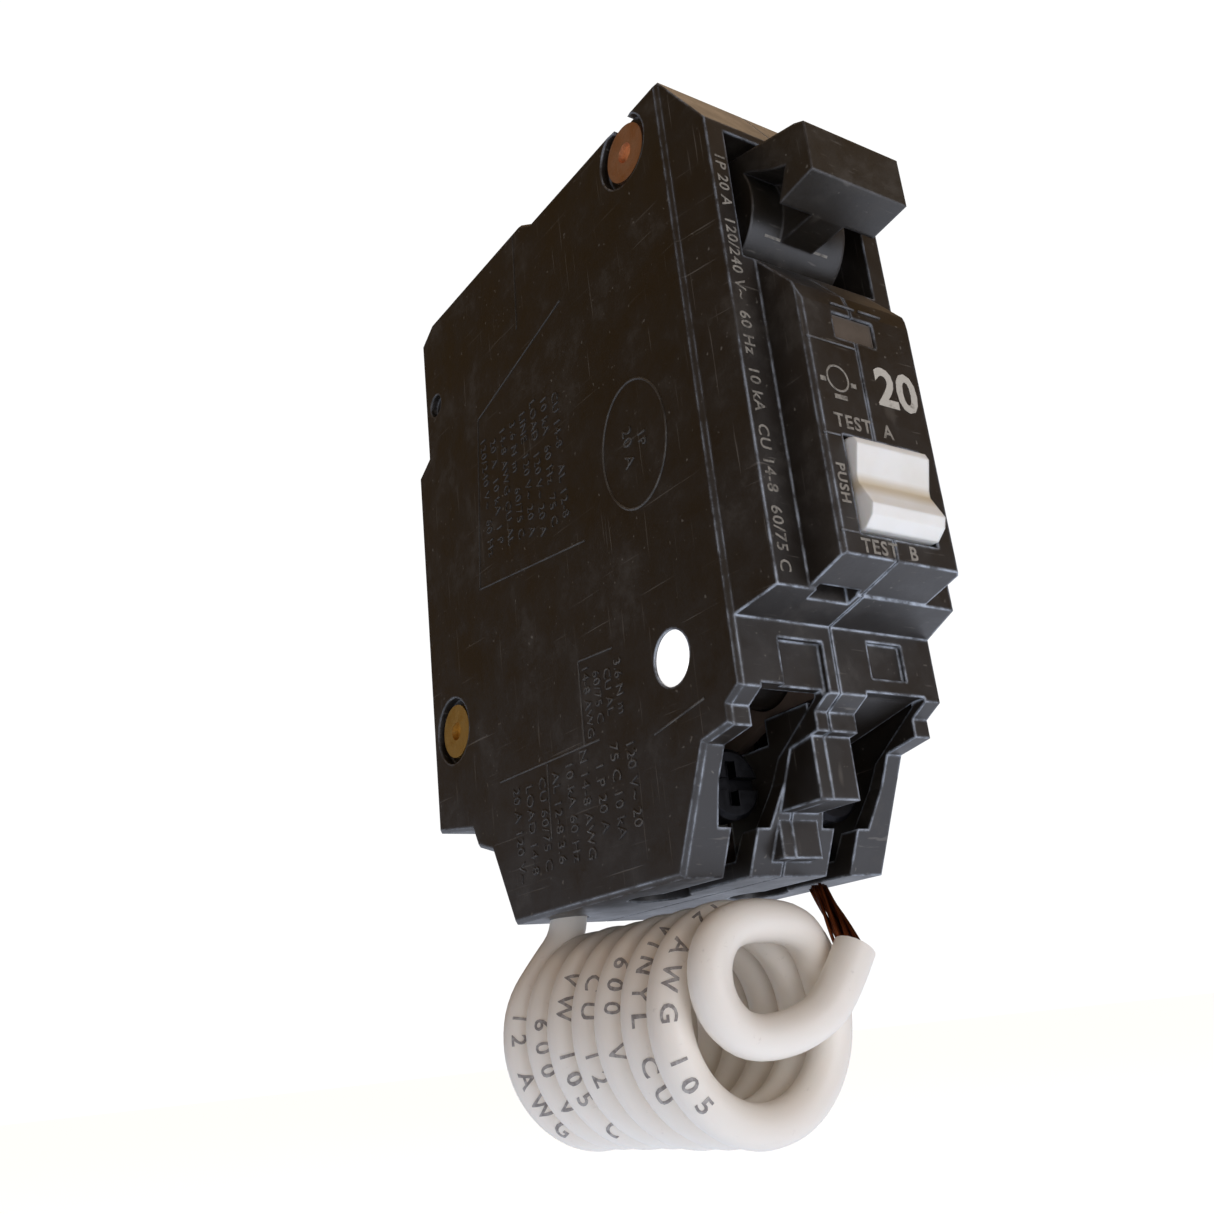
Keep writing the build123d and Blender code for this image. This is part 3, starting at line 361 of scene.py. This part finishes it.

# ---------------------------------------------------------------- moulded shells
# Two shells moulded in brown-black phenolic and riveted together. The surface is satin with fine
# grain, pale scuffs, and light grey wear on every corner that is partly a painted highlight, most of it
# towards the bottom, at the load end, and towards the front.


def phenolic(name, dark, light, wear, wear_and_highlight_colour="#bfc6ce"):
    """Moulded phenolic: a mottled dark ground, grain, scuffs, scratches, and wear along edges that is partly a
    painted highlight.
    """
    made, tree, shader, place = blank(name, IOR=1.72)
    cloud = add(tree, "TexNoise", {"Vector": place, "Scale": 85.0, "Detail": 5.0, "Roughness": 0.6})
    ground = add(tree, "Mix", {0: cloud.outputs[0], 6: linear(dark), 7: linear(light)}, data_type="RGBA")
    # scuffs: broad rubbed patches broken up by grain
    patch = add(tree, "TexNoise", {"Vector": place, "Scale": 130.0, "Detail": 8.0, "Roughness": 0.75})
    rubbed = add(tree, "MapRange", {0: patch.outputs[0], 1: 0.54, 2: 0.78, 3: 0.0, 4: 0.55})
    scuffed = add(tree, "Mix", {0: rubbed.outputs[0], 6: ground.outputs[2], 7: linear("#4c453b")},
                  data_type="RGBA")
    # scratches: noise drawn out along one direction, crossed by a second set
    lines = []
    for turn, stretch in ((0.5, (300.0, 70.0, 3200.0)), (-0.9, (300.0, 3400.0, 90.0))):
        mapped = add(tree, "Mapping", {"Vector": place, "Rotation": (turn, 0.0, 0.0), "Scale": stretch})
        streak = add(tree, "TexNoise", {"Vector": mapped.outputs[0], "Scale": 1.0, "Detail": 2.0})
        cut = add(tree, "MapRange", {0: streak.outputs[0], 1: 0.69, 2: 0.76, 3: 0.0, 4: 0.5})
        lines.append(cut.outputs[0])
    crossed = add(tree, "Math", {0: lines[0], 1: lines[1]}, operation="MAXIMUM")
    broken = add(tree, "Math", {0: crossed.outputs[0], 1: cloud.outputs[0]}, operation="MULTIPLY")
    scratched = add(tree, "Mix", {0: broken.outputs[0], 6: scuffed.outputs[2], 7: linear("#8d8579")},
                    data_type="RGBA")
    # pale specks of filler and dust
    specks = add(tree, "TexNoise", {"Vector": place, "Scale": 1700.0, "Detail": 1.0})
    dust = add(tree, "MapRange", {0: specks.outputs[0], 1: 0.74, 2: 0.80, 3: 0.0, 4: 0.35})
    dusty = add(tree, "Mix", {0: dust.outputs[0], 6: scratched.outputs[2], 7: linear("#8f887c")},
                data_type="RGBA")
    # wear and painted highlight where the rounded corner turns away from the flat, stronger towards the bottom
    # and the front
    rounded = add(tree, "Bevel", {"Radius": 0.00042}, samples=6)
    flat = add(tree, "NewGeometry").outputs["Normal"]
    same = add(tree, "VectorMath", {0: rounded.outputs[0], 1: flat}, operation="DOT_PRODUCT")
    corner = add(tree, "MapRange", {0: same.outputs["Value"], 1: 0.995, 2: 0.90, 3: 0.0, 4: 1.0})
    chips = add(tree, "TexNoise", {"Vector": place, "Scale": 420.0, "Detail": 5.0, "Roughness": 0.7})
    ragged = add(tree, "MapRange", {0: chips.outputs[0], 1: 0.40, 2: 0.58, 3: 0.12, 4: 1.0})
    height = add(tree, "SeparateXYZ", {0: place})
    low = add(tree, "MapRange", {0: height.outputs["Z"], 1: 0.012, 2: -0.012, 3: wear * 0.45, 4: wear})
    front = add(tree, "MapRange", {0: height.outputs["Y"], 1: -0.02, 2: -0.045, 3: 0.35, 4: 1.0})
    mask = add(tree, "Math", {0: corner.outputs[0], 1: ragged.outputs[0]}, operation="MULTIPLY")
    mask = add(tree, "Math", {0: mask.outputs[0], 1: low.outputs[0]}, operation="MULTIPLY")
    mask = add(tree, "Math", {0: mask.outputs[0], 1: front.outputs[0]}, operation="MULTIPLY")
    worn = add(tree, "Mix", {0: mask.outputs[0], 6: dusty.outputs[2], 7: linear(wear_and_highlight_colour)},
               data_type="RGBA")
    tree.links.new(worn.outputs[2], shader.inputs["Base Color"])
    rough = add(tree, "MapRange", {0: patch.outputs[0], 1: 0.35, 2: 0.75, 3: 0.36, 4: 0.58})
    tree.links.new(rough.outputs[0], shader.inputs["Roughness"])
    grain = add(tree, "TexNoise", {"Vector": place, "Scale": 1500.0, "Detail": 4.0, "Roughness": 0.65})
    depth = add(tree, "Math", {0: grain.outputs[0], 1: crossed.outputs[0]}, operation="SUBTRACT")
    bump = add(tree, "Bump", {"Height": depth.outputs[0], "Strength": 0.22, "Distance": 0.00006,
                              "Normal": rounded.outputs[0]})
    tree.links.new(bump.outputs[0], shader.inputs["Normal"])
    return made


def dress(finish, *names):
    """Gives CAD nodes a material."""
    for name in names:
        mesh = node[name].data
        mesh.materials.clear()
        mesh.materials.append(finish)


case_finish = phenolic("moulded_phenolic", "#130d06", "#1f160b", 1.0)
dress(case_finish, "left_case", "right_case")

# ---------------------------------------------------------------- marks moulded in the shells
# Raised lines, a ring and rows of small raised characters on the sides, moulded with the shells,
# and the thin raised lines, paler than the shells, that divide the front of the nose. The two short
# lines at the top of the nose are a painted highlight on the edge above the window.
side_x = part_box("left_case")[0].x
nose_y = -67.4 * mm
shoulder_y = -62.7 * mm


def laid(corners, middle, right, up):
    """Places a page's corners in the part's frame; the page's Z goes along right x up."""
    right, up = np.array(right, float), np.array(up, float)
    out = np.cross(right, up)
    return (np.array(middle) * mm + corners[:, :1] * right + corners[:, 1:2] * up + corners[:, 2:] * out)


def bar(length, width, thick):
    """A thin raised bar on the page, with sloping sides: corners and faces."""
    a, b, c = length / 2, width / 2, min(width, thick) * 0.35
    low = [(-a, -b, -thick / 2), (a, -b, -thick / 2), (a, b, -thick / 2), (-a, b, -thick / 2)]
    high = [(-a + c, -b + c, thick / 2), (a - c, -b + c, thick / 2), (a - c, b - c, thick / 2),
            (-a + c, b - c, thick / 2)]
    return np.array(low + high), [(3, 2, 1, 0), (4, 5, 6, 7), (0, 1, 5, 4), (1, 2, 6, 5), (2, 3, 7, 6),
                                  (3, 0, 4, 7)]


def ring(reach, width, thick, squash=1.0, count=64):
    """A raised ring on the page, round or oval: a flat-topped ridge carried round an ellipse."""
    turn = np.linspace(0, 2 * np.pi, count, endpoint=False)
    profile = ((-width / 2, -thick / 2), (-width / 4, thick / 2), (width / 4, thick / 2), (width / 2,
                                                                                           -thick / 2))
    points = np.concatenate([np.stack([(reach + a) * np.cos(turn), (reach + a) * np.sin(turn) * squash,
                                       turn * 0 + b], 1) for a, b in profile])
    rims = []
    for j in range(4):
        for i in range(count):
            k = (i + 1) % count
            rims.append((j * count + i, (j + 1) % 4 * count + i, (j + 1) % 4 * count + k, j * count + k))
    return points, rims


along_front, down, upward = (0, -1, 0), (0, 0, -1), (0, 0, 1)
left_face = side_x / mm
raised = 0.16 * mm
side_marks = []
corners, rims = ring(5.4 * mm, 0.35 * mm, raised, 1.27)
side_marks.append((laid(corners, (left_face, -47.2, 6.2), along_front, upward), rims))
for y, z, words, size in ((-46.2, 6.2, "20 A", 1.5), (-48.6, 6.2, "1P", 1.2)):
    corners, rims = letters(words, size * mm, raised, 0.0, 1.1)
    side_marks.append((laid(corners, (left_face, y, z), down, along_front), rims))
rows = ("120/240 V~  60 Hz", "20 A  10 kA  1 P", "14-8 AWG CU AL", "3.6 N m   60/75 C", "LINE  120 V~ 20 A",
        "LOAD  120 V~ 20 A", "10 kA  60 Hz  75 C", "CU 14-8   AL 12-8")
for k, words in enumerate(rows):
    corners, rims = letters(words, 1.25 * mm, raised, 0.0, 1.12)
    side_marks.append((laid(corners, (left_face, -17.5 - 2.35 * k, 13.5 - 0.3 * k), down, along_front), rims))
for k, words in enumerate(("14-8 AWG", "60/75 C", "CU AL", "3.6 N m")):
    corners, rims = letters(words, 1.15 * mm, raised, 0.0, 1.05)
    side_marks.append((laid(corners, (left_face, -34.6 - 1.9 * k, -17.0), down, along_front), rims))
for k, words in enumerate(("20 A 120 V~", "LOAD 14-8", "CU 60/75 C", "AL 12-8 3.6", "10 kA 60 Hz",
                           "N 14-8 AWG",
                           "1 P 20 A", "75 C 10 kA", "120 V~ 20")):
    corners, rims = letters(words, 1.35 * mm, raised, 0.0, 1.05)
    side_marks.append((laid(corners, (left_face, -19.0 - 2.75 * k, -27.6 + 0.1 * k), down, along_front),
                       rims))
for y0, z0, y1, z1 in ((-33.5, -12.4, -39.8, -12.9), (-33.5, -12.4, -33.2, -21.2), (-36.0, -21.3, -15.6,
                                                                                    -21.0),
                       (-25.8, -21.3, -25.5, -29.3), (-28.3, 43.6, -27.4, 31.0), (-37.0, 29.2, -16.7, 24.2),
                       (-16.7, 24.2, -14.2, 2.7), (-37.0, -0.2, -14.2, 2.7), (-45.0, -23.2, -53.0, -21.9)):
    span = math.hypot(y1 - y0, z1 - z0)
    corners, rims = bar(span * mm, 0.28 * mm, raised * 0.8)
    lie = ((0, (y1 - y0) / span, (z1 - z0) / span), (0, (z1 - z0) / span, -(y1 - y0) / span))
    side_marks.append((laid(corners, (left_face, (y0 + y1) / 2, (z0 + z1) / 2), *lie), rims))
piece("side_marks", *joined(side_marks), "case", phenolic("raised_phenolic", "#1d1813", "#2c251d", 0.75,
                                                          "#7c756b"))

nose_lines_and_highlight = []
# the two short lines at z 13 are a painted highlight on the edge above the window, not moulded lines
for x0, x1, z in ((-7.2, -1.0, 8.5), (-7.2, -5.2, -1.3), (-7.2, -5.1, -10.7), (-3.3, -0.2, 13.0), (0.3,
                                                                                                   3.3, 13.05)):
    corners, rims = bar((x1 - x0) * mm, 0.22 * mm, 0.12 * mm)
    nose_lines_and_highlight.append((laid(corners, ((x0 + x1) / 2, nose_y / mm, z), (1, 0, 0), upward), rims))
piece("nose_lines_and_highlight", *joined(nose_lines_and_highlight), "case", phenolic("nose_line_and_highlight_phenolic", "#3a342c", "#5a5248", 0.9))

# ---------------------------------------------------------------- printing on the front
# Pad-printed marks in a warm grey-white ink: the rating, what the rocker does and a row of ratings
# down the left shoulder. The ink is rubbed thin in places.
front_ink, tree, shader, place = blank("pad_print_ink", Roughness=0.55)
rub = add(tree, "TexNoise", {"Vector": place, "Scale": 1300.0, "Detail": 5.0, "Roughness": 0.75})
thin = add(tree, "MapRange", {0: rub.outputs[0], 1: 0.46, 2: 0.70})
tone = add(tree, "Mix", {0: thin.outputs[0], 6: linear("#8f887c"), 7: linear("#3f3a33")}, data_type="RGBA")
tree.links.new(tone.outputs[2], shader.inputs["Base Color"])
bold_ink, tree, shader, place = blank("rating_ink", Roughness=0.5)
rub = add(tree, "TexNoise", {"Vector": place, "Scale": 900.0, "Detail": 4.0, "Roughness": 0.7})
thin = add(tree, "MapRange", {0: rub.outputs[0], 1: 0.56, 2: 0.76})
tone = add(tree, "Mix", {0: thin.outputs[0], 6: linear("#bdb6a8"), 7: linear("#7b7366")}, data_type="RGBA")
tree.links.new(tone.outputs[2], shader.inputs["Base Color"])
ink_t = 0.06 * mm
across = (1, 0, 0)
small = []
for words, x, z, size, right, up in (
        ("TEST  A", -1.9, 0.2, 1.35, across, upward), ("TEST  B", -1.6, -11.9, 1.3, across, upward),
        ("PUSH", -6.0, -6.1, 1.05, down, across)):
    corners, rims = letters(words, size * mm, ink_t, 0.04 * mm, 1.15)
    small.append((laid(corners, (x, nose_y / mm, z), right, up), rims))
corners, rims = ring(1.3 * mm, 0.3 * mm, ink_t)
small.append((laid(corners, (-4.2, nose_y / mm, 4.7), across, upward), rims))
for x, z, length in ((-6.1, 4.3, 0.7), (-2.3, 4.3, 0.7), (-4.2, 2.75, 1.6)):
    corners, rims = bar(length * mm, 0.5 * mm, ink_t)
    small.append((laid(corners, (x, nose_y / mm, z), across, upward), rims))
corners, rims = letters("1P 20 A  120/240 V~  60 Hz  10 kA  CU 14-8  60/75 C", 1.25 * mm, ink_t, 0.02 * mm,
                        1.1)
small.append((laid(corners, (-9.9, shoulder_y / mm, 9.0), down, across), rims))
piece("front_print", *joined(small), "case", front_ink)
corners, rims = letters("20", 3.9 * mm, ink_t, 0.16 * mm, 1.0)
piece("rating_print", laid(corners, (3.5, nose_y / mm, 4.9), across, upward), rims, "case", bold_ink)

# ---------------------------------------------------------------- toggle handle
# One moulding in the same phenolic as the shells, its edges polished by fingers and given a painted highlight,
# with a printed line and a mark on the barrel that shows while the breaker is on.
handle_finish = phenolic("handle_phenolic", "#1a150f", "#2a2216", 0.8, "#6e6a68")
dress(handle_finish, "handle")
hub = (-56.5, 27.75)
hub_r = 6.2


def round_barrel(corners, start):
    """Bends a page round the barrel: X stays across it, Y runs up it from an angle below the front."""
    turn = start - corners[:, 1] / (hub_r * mm)
    reach = hub_r * mm + corners[:, 2]
    return np.stack([corners[:, 0], hub[0] * mm - reach * np.cos(turn),
                     hub[1] * mm - reach * np.sin(turn)], 1)


barrel = []
for made, start in ((bar(8.5 * mm, 0.3 * mm, ink_t), 0.62), (letters("ON", 1.0 * mm, ink_t, 0.0, 1.2), 0.36)):
    barrel.append((round_barrel(made[0], start), made[1]))
piece("handle_print", *joined(barrel), "handle", front_ink)

# ---------------------------------------------------------------- test rocker
# A white nylon rocker with a V-shaped face, moulded glossy, with a tan band of painted shade in its valley.
nylon, tree, shader, place = blank("white_nylon", Roughness=0.33, IOR=1.53, Subsurface_Weight=0.15,
                                   Subsurface_Radius=(0.8, 0.6, 0.45), Subsurface_Scale=0.001)
cloud = add(tree, "TexNoise", {"Vector": place, "Scale": 300.0, "Detail": 4.0})
tone = add(tree, "Mix", {0: cloud.outputs[0], 6: linear("#ebe5d8"), 7: linear("#fbf8f2")}, data_type="RGBA")
# painted shade: a tan band along the valley of the V, 6.2 mm below the middle
level = add(tree, "SeparateXYZ", {0: place})
off = add(tree, "Math", {0: level.outputs["Z"], 1: 0.0062}, operation="ADD")
off = add(tree, "Math", {0: off.outputs[0]}, operation="ABSOLUTE")
valley = add(tree, "MapRange", {0: off.outputs[0], 1: 0.0012, 2: 0.0002, 3: 0.0, 4: 0.75})
painted_valley_shade = add(tree, "Mix", {0: valley.outputs[0], 6: tone.outputs[2], 7: linear("#cdb78e")}, data_type="RGBA")
tree.links.new(painted_valley_shade.outputs[2], shader.inputs["Base Color"])
rounded = add(tree, "Bevel", {"Radius": 0.00035}, samples=6)
tree.links.new(rounded.outputs[0], shader.inputs["Normal"])
dress(nylon, "test_rocker")

# ---------------------------------------------------------------- indicator window
# A smoked lens moulded in polycarbonate, with its light pipe behind it. It is dark enough to be drawn
# as a solid, glossy finish.
lens, tree, shader, place = blank("smoked_polycarbonate", Roughness=0.22, IOR=1.58, Coat_Weight=0.3)
cloud = add(tree, "TexNoise", {"Vector": place, "Scale": 500.0, "Detail": 3.0})
tone = add(tree, "Mix", {0: cloud.outputs[0], 6: linear("#4a423a"), 7: linear("#6a6056")}, data_type="RGBA")
tree.links.new(tone.outputs[2], shader.inputs["Base Color"])
dress(lens, "indicator_lens")

# ---------------------------------------------------------------- rivets and the sleeve
# Steel rivets with spun flat heads, copper plated at the top and brass plated at the rear, dulled.
# A white nylon sleeve lines the tie hole and glows with painted light.
plated, tree, shader, place = blank("plated_rivet", Metallic=1.0)
height = add(tree, "SeparateXYZ", {0: place})
which = add(tree, "MapRange", {0: height.outputs["Z"], 1: 0.0, 2: 0.02})
metal = add(tree, "Mix", {0: which.outputs[0], 6: linear("#dcb664"), 7: linear("#ecb890")}, data_type="RGBA")
wear = add(tree, "TexNoise", {"Vector": place, "Scale": 650.0, "Detail": 5.0, "Roughness": 0.7})
dull = add(tree, "MapRange", {0: wear.outputs[0], 1: 0.35, 2: 0.75, 3: 0.0, 4: 0.6})
tarnish = add(tree, "Mix", {0: dull.outputs[0], 6: metal.outputs[2], 7: linear("#94704c")}, data_type="RGBA")
tree.links.new(tarnish.outputs[2], shader.inputs["Base Color"])
rough = add(tree, "MapRange", {0: wear.outputs[0], 1: 0.3, 2: 0.7, 3: 0.35, 4: 0.62})
tree.links.new(rough.outputs[0], shader.inputs["Roughness"])
dress(plated, "rivets")
# a guess: the hole shows pure white, so the sleeve is given a glow of its own, painted light from a part that
# is no lamp
sleeve_glow_finish, tree, shader, place = blank("sleeve_nylon", Roughness=0.4, Emission_Color=(1, 1, 1, 1),
                                           Emission_Strength=0.75)
cloud = add(tree, "TexNoise", {"Vector": place, "Scale": 400.0})
tone = add(tree, "Mix", {0: cloud.outputs[0], 6: linear("#f2f1ee"), 7: linear("#fdfdfb")}, data_type="RGBA")
tree.links.new(tone.outputs[2], shader.inputs["Base Color"])
dress(sleeve_glow_finish, "tie_sleeve")


# ---------------------------------------------------------------- metal pieces
# Stamped and turned pieces: zinc-plated and bright steel, tinned brass, copper, silver and spring
# steel, each with fine rolling or turning marks and a little tarnish. The terminal screws are black
# oxide steel, which is a guess, as they don't show.


def metal_finish(name, colour, tarnish_colour, rough, marks=2200.0):
    """Bare or plated metal: a tint mottled with tarnish, and fine marks in its roughness."""
    made, tree, shader, place = blank(name, Metallic=1.0)
    cloud = add(tree, "TexNoise", {"Vector": place, "Scale": 240.0, "Detail": 5.0, "Roughness": 0.65})
    share = add(tree, "MapRange", {0: cloud.outputs[0], 1: 0.4, 2: 0.75, 3: 0.0, 4: 0.6})
    tone = add(tree, "Mix", {0: share.outputs[0], 6: linear(colour), 7: linear(tarnish_colour)},
               data_type="RGBA")
    tree.links.new(tone.outputs[2], shader.inputs["Base Color"])
    drawn = add(tree, "Mapping", {"Vector": place, "Scale": (marks, marks * 0.06, marks)})
    line = add(tree, "TexNoise", {"Vector": drawn.outputs[0], "Scale": 1.0, "Detail": 2.0})
    spread = add(tree, "MapRange", {0: line.outputs[0], 1: 0.3, 2: 0.7, 3: rough - 0.08, 4: rough + 0.1})
    tree.links.new(spread.outputs[0], shader.inputs["Roughness"])
    rounded = add(tree, "Bevel", {"Radius": 0.00012}, samples=4)
    bump = add(tree, "Bump", {"Height": line.outputs[0], "Strength": 0.15, "Distance": 0.00003,
                              "Normal": rounded.outputs[0]})
    tree.links.new(bump.outputs[0], shader.inputs["Normal"])
    return made


dress(metal_finish("zinc_plated_steel", "#b9bcc0", "#7f7d76", 0.34), "load_clamp", "neutral_clamp",
      "arc_plates",
      "magnet_yoke", "armature", "cradle", "solenoid_frame", "plunger")
dress(metal_finish("black_oxide_steel", "#2b2b2d", "#19191a", 0.42), "load_screw", "neutral_screw")
dress(metal_finish("tinned_brass", "#b5b1a4", "#857b63", 0.36), "load_lug", "neutral_lug")
dress(metal_finish("bare_copper", "#c98a63", "#7a4b34", 0.36), "line_jaw", "load_strap", "neutral_strap",
      "contact_arm", "braid")
dress(metal_finish("silver_contact", "#d8d6d0", "#8d8a84", 0.3), "fixed_contact", "moving_contact")
dress(metal_finish("bright_steel", "#c3c4c6", "#8d8c8a", 0.26), "handle_pin", "arm_pin", "cradle_pin",
      "rocker_pin")
dress(metal_finish("blued_spring_steel", "#8f959c", "#5d5f63", 0.32), "jaw_clip", "rail_hook",
      "toggle_spring")
dress(metal_finish("turned_brass", "#cfae63", "#8c7140", 0.3), "calibration_screw")
dress(metal_finish("rolled_bimetal", "#a7a199", "#77706a", 0.38), "bimetal")
dress(metal_finish("spring_bronze", "#c09763", "#876341", 0.34), "test_contacts")

# ---------------------------------------------------------------- pieces inside the case
# Moulded, dipped and pressed insulating pieces: the fibre divider and arc liner, the board and its
# components, the sensor's case and the solenoid's tape.


def plastic_finish(name, dark, light, rough, scale=500.0):
    """Plain plastic, fibre or resin: two near tints in a fine mottle, and a light grain."""
    made, tree, shader, place = blank(name, IOR=1.5)
    cloud = add(tree, "TexNoise", {"Vector": place, "Scale": scale, "Detail": 4.0, "Roughness": 0.6})
    tone = add(tree, "Mix", {0: cloud.outputs[0], 6: linear(dark), 7: linear(light)}, data_type="RGBA")
    tree.links.new(tone.outputs[2], shader.inputs["Base Color"])
    spread = add(tree, "MapRange", {0: cloud.outputs[0], 1: 0.3, 2: 0.7, 3: rough - 0.05, 4: rough + 0.08})
    tree.links.new(spread.outputs[0], shader.inputs["Roughness"])
    bump = add(tree, "Bump", {"Height": cloud.outputs[0], "Strength": 0.1, "Distance": 0.00004})
    tree.links.new(bump.outputs[0], shader.inputs["Normal"])
    return made


for name, dark, light, rough, pieces in (
        ("vulcanised_fibre", "#5c4a3a", "#776252", 0.7, ("divider", "arc_liner")),
        ("solder_mask", "#16502c", "#226b3d", 0.35, ("circuit_board",)),
        ("dipped_epoxy", "#1e3f8f", "#2f56ad", 0.35, ("varistor",)),
        ("shrink_sleeve", "#14141a", "#25252e", 0.25, ("capacitor",)),
        ("film_capacitor_case", "#a8811c", "#c79c2c", 0.3, ("film_capacitor",)),
        ("chip_plastic", "#121212", "#1e1e1e", 0.5, ("thyristor", "control_chip")),
        ("resistor_lacquer", "#b59f74", "#cdb98e", 0.35, ("resistors",)),
        ("sensor_case", "#1c2038", "#2b3152", 0.5, ("current_sensor",)),
        ("coil_tape", "#b39b2e", "#cdb748", 0.3, ("solenoid_coil",)),
        ("led_epoxy", "#a01c14", "#c22a1e", 0.15, ("indicator_led",))):
    dress(plastic_finish(name, dark, light, rough), *pieces)

size = {"cad": [list(v) for v in cad_box], "visual": [list(v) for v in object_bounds()]}
